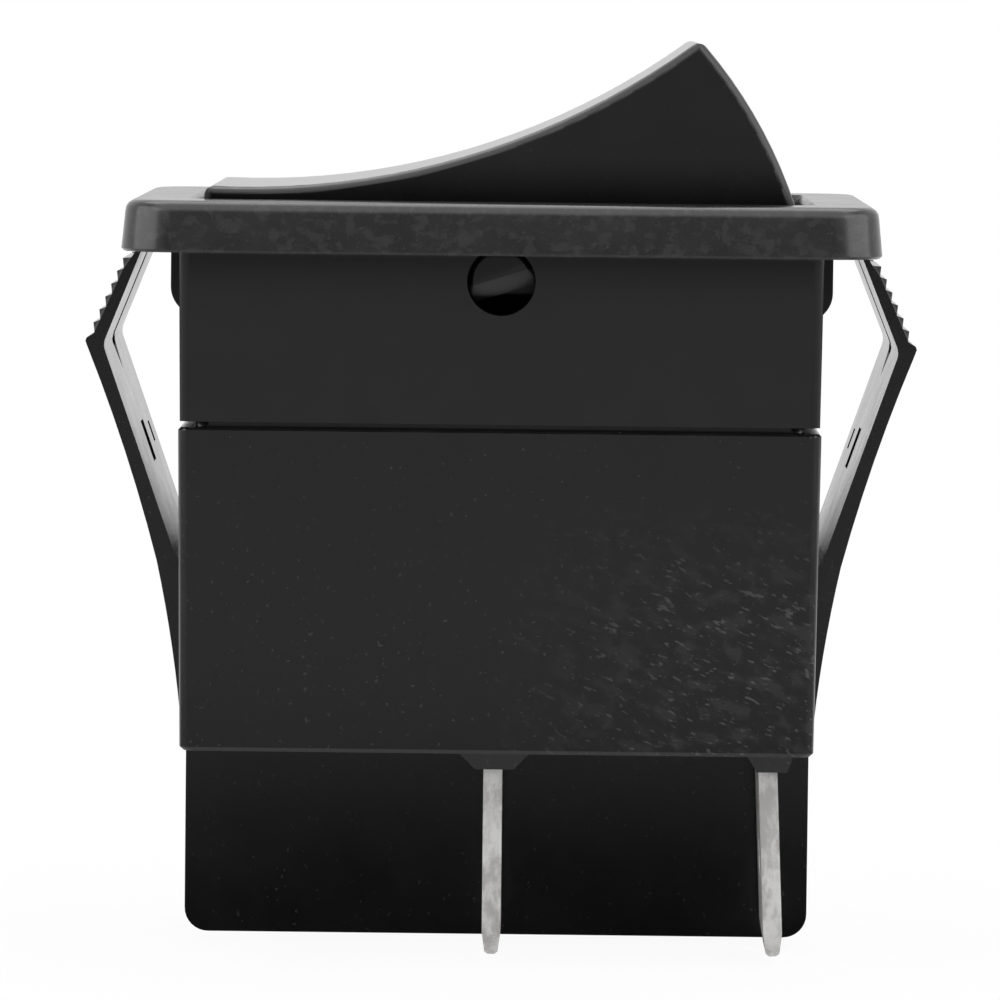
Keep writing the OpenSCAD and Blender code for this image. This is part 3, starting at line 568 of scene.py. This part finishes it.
def spring(side):
    """The coil between a plunger's shoulder and the blind end of its barrel."""
    node = f"{side}_plunger_spring"
    low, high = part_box(node)
    middle_y = (low.y + high.y) / 2
    mean = (high.y - low.y) / 2 - WIRE
    upright = Matrix.Rotation(REST_TILT, 4, "Y")
    own = [upright @ (v.co - pivot) for v in nodes[node].data.vertices]
    foot, top = min(p.z for p in own) + WIRE, max(p.z for p in own) - WIRE
    lean = Matrix.Translation(pivot) @ Matrix.Rotation(-REST_TILT, 4, "Y")
    place = lean @ Matrix.Translation((0, middle_y - pivot.y, foot))
    sizes = {"Mean Radius": mean, "Wire Radius": WIRE, "Height": top - foot,
             "Turns": TURNS, "Wire": wire_steel}
    piece = grow(f"{side}_coil", coil, coil_ids, sizes, place)
    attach(piece, "rocker")
    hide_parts(node)
    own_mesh(piece)
    return piece


for side in ("near", "far"):
    made = spring(side)
    print(made.name, "has", len(made.data.polygons), "faces")

# %% [markdown]
# ## The floor
# The switch stands on plain white, which the camera sees as white because the floor's material
# mixes in a plain glow for camera rays. A shiny face sees another room than the eye, as it would
# among the white and black boards of a studio: dark close to the switch and far in front, pale in
# between, and white behind. The near faces stay deep black that way, while the grazing top faces
# shine. It works by mixing a black and a white glow by the place that a mirrored ray meets.

# %% Lay the floor
FLOOR_DROP = 0.4 * MM
FLOOR_HALF = 1.5


def floor_finish():
    f = Finish("floor_white")
    seen, mirrored = (f.node("LightPath", out=f"Is {kind} Ray") for kind in ("Camera", "Glossy"))
    apart = f.node("VectorMath", {"operation": "LENGTH"}, {0: f.place}, out="Value")
    steep = f.along("Z", of=f.node("NewGeometry", out="Incoming")).above(0.5, 0.2)
    behind = f.along("Y").above(0.02, 0.02)
    # What shiny faces see: dark close to the switch and far away, pale in between
    level = 0.04 + 0.48 * apart.above(0.08, 0.03) - 0.48 * apart.above(0.85, 0.12)
    level = level.math("MAXIMUM", level, 0.65 * steep)
    level = level.math("MAXIMUM", level, behind)
    # What the camera sees: white, with a little of the true shade close to the switch
    share = seen * (0.94 + 0.06 * apart.above(0.09, 0.04)) + mirrored
    matt = f.node("BsdfDiffuse", None, {"Color": (0.9, 0.9, 0.9, 1)})
    white = f.node("Emission", None, {"Color": grey(1.0), "Strength": 1.0})
    black = f.node("Emission", None, {"Color": grey(0.0), "Strength": 1.0})
    plain = f.node("MixShader", None, {0: seen + mirrored * level, 1: black, 2: white})
    f.finish(f.node("MixShader", None, {0: share, 1: matt, 2: plain}))
    return f.material


def lay_floor():
    z = cad_low[2] - FLOOR_DROP
    mesh = bpy.data.meshes.new("floor")
    corners = [(sx * FLOOR_HALF, sy * FLOOR_HALF, z)
               for sx, sy in ((-1, -1), (1, -1), (1, 1), (-1, 1))]
    mesh.from_pydata(corners, [], [(0, 1, 2, 3)])
    floor = bpy.data.objects.new("floor", mesh)
    bpy.context.scene.collection.objects.link(floor)
    dress(floor, floor_finish())
    return floor


print("the floor lies", round(-lay_floor().data.vertices[0].co.z / MM, 1), "mm below the panel")


# %% [markdown]
# ## The room
# The world follows the same plan. It is white for the camera, and for shiny faces white behind and
# beside, dark in front at the switch's own level and paler higher up, which puts a band of light
# on each rounded corner. It adds a little even light of its own, so that no hollow is pure black.


# %% Light the world
def light_world():
    world = bpy.data.worlds.new("studio")
    bpy.context.scene.world = world
    f = Network(world, "Generated")
    camera, glossy, through = (f.node("LightPath", out=f"Is {kind} Ray")
                               for kind in ("Camera", "Glossy", "Transmission"))
    seen = camera.math("MAXIMUM", camera, through)
    beside = f.along("Y").above(-0.86, 0.13)
    front = 0.12 + 0.78 * f.along("Z").above(0.24, 0.18)
    glow = glossy * (front + beside * (1 - front)) + 0.1 * (1 - glossy)
    colour = f.blend(seen + (1 - seen) * glow, grey(0.0), grey(1.0))
    f.finish(f.node("Background", None, {"Color": colour, "Strength": 1.0}), "World")
    return world


print("the world is the", light_world().name)


# %% [markdown]
# ## The soft boxes
# Four soft boxes do the rest: one above, a broad one high in front, and one on each side. They
# are far larger than the switch, which keeps every shadow soft.


# %% Hang the soft boxes
def soft_box(name, place, target, size, power):
    data = bpy.data.lights.new(name, "AREA")
    data.shape = "RECTANGLE"
    data.size, data.size_y = size
    data.energy = power
    lamp = bpy.data.objects.new(name, data)
    lamp.location = place
    lamp.rotation_euler = (Vector(target) - Vector(place)).to_track_quat("-Z", "Y").to_euler()
    bpy.context.scene.collection.objects.link(lamp)
    return lamp


centre = (Vector(cad_low) + Vector(cad_high)) / 2
SOFT_BOXES = (("top_box", (0.0, 0.12, 0.45), (0.5, 0.4), 1.6),
              ("front_box", (0.0, -0.32, 0.42), (1.0, 0.5), 1.6),
              ("left_box", (-0.4, -0.16, 0.15), (0.5, 0.35), 1.0),
              ("right_box", (0.4, -0.16, 0.15), (0.5, 0.35), 1.0))
for name, place, size, power in SOFT_BOXES:
    soft_box(name, place, centre, size, power)
print(len(SOFT_BOXES), "soft boxes hang round the switch")
bpy.context.scene.view_settings.view_transform = "Standard"
